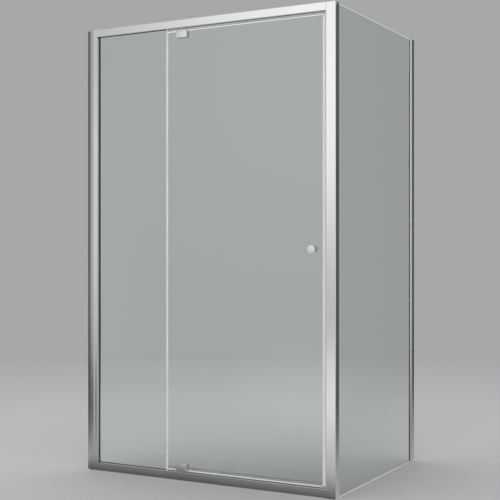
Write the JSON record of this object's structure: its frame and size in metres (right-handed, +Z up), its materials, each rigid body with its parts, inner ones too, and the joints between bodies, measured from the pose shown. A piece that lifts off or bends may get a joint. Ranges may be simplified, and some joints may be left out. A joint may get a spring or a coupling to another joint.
{
  "type": "shower screen",
  "caption": "Corner shower screen: framed front with a fixed pane and an outward pivot door, and a glass return panel held in a corner post and a wall channel.",
  "frame": {"origin": "middle of the footprint's bounding box, on the floor", "axes": "+X from the left wall towards the return pane, +Y from the room into the shower, +Z up"},
  "size_m": [1.205, 0.889, 1.95],
  "materials": {
    "bright_aluminium": "bright polished and anodised extrusion",
    "clear_glass": "clear toughened glass with ground and polished edges",
    "milky_seal": "translucent soft plastic extrusion",
    "dark_gasket": "matt glazing rubber",
    "chrome_plate": "polished chrome plate",
    "screw_steel": "plain stainless steel",
    "nylon": "natural nylon",
    "cap_plastic": "silver grey moulded plastic",
    "magnet_strip": "flexible ferrite strip"
  },
  "bodies": {
    "frame": {"front_wall_channel": "bright_aluminium", "front_jamb": "bright_aluminium", "wall_channel_cap": "cap_plastic", "top_rail": "bright_aluminium", "bottom_rail": "bright_aluminium", "corner_post": "bright_aluminium", "corner_post_cap": "cap_plastic", "return_wall_channel": "bright_aluminium", "return_glazing_profile": "bright_aluminium", "return_channel_cap": "cap_plastic", "fixed_glass": "clear_glass", "return_glass": "clear_glass", "jamb_gaskets": "dark_gasket", "top_rail_gaskets": "dark_gasket", "bottom_rail_gaskets": "dark_gasket", "post_gaskets": "dark_gasket", "return_profile_gaskets": "dark_gasket", "fixed_setting_blocks": "dark_gasket", "fixed_edge_seal": "milky_seal", "return_bottom_seal": "milky_seal", "top_rail_infill": "bright_aluminium", "bottom_rail_infill": "bright_aluminium", "post_magnet_strip": "milky_seal", "post_seal_magnet": "magnet_strip", "top_pivot_bush": "nylon", "bottom_pivot_bush": "nylon", "jamb_rail_screws": "screw_steel", "post_rail_screws": "screw_steel", "post_access_plugs": "cap_plastic", "jamb_lock_screws": "screw_steel", "jamb_screw_caps": "cap_plastic", "return_lock_screws": "screw_steel", "return_screw_caps": "cap_plastic"},
    "door": {"door_glass": "clear_glass", "top_pivot_outer_plate": "chrome_plate", "top_pivot_inner_plate": "chrome_plate", "top_pivot_gaskets": "milky_seal", "top_pivot_pin": "screw_steel", "top_pivot_screws": "screw_steel", "bottom_pivot_outer_plate": "chrome_plate", "bottom_pivot_inner_plate": "chrome_plate", "bottom_pivot_gaskets": "milky_seal", "bottom_pivot_pin": "screw_steel", "bottom_pivot_screws": "screw_steel", "door_bottom_seal": "milky_seal", "door_magnet_seal": "milky_seal", "door_seal_magnet": "magnet_strip", "knob_outer": "chrome_plate", "knob_inner": "chrome_plate", "knob_stud": "screw_steel", "knob_sleeve": "nylon", "knob_washers": "milky_seal"}
  },
  "joints": [
    {"name": "door_pivot", "type": "hinge", "parent": "frame", "child": "door", "pos_m": [-0.1125, -0.4235, 0.039], "axis": [0, 0, -1], "range_deg": [0, 100]}
  ]
}
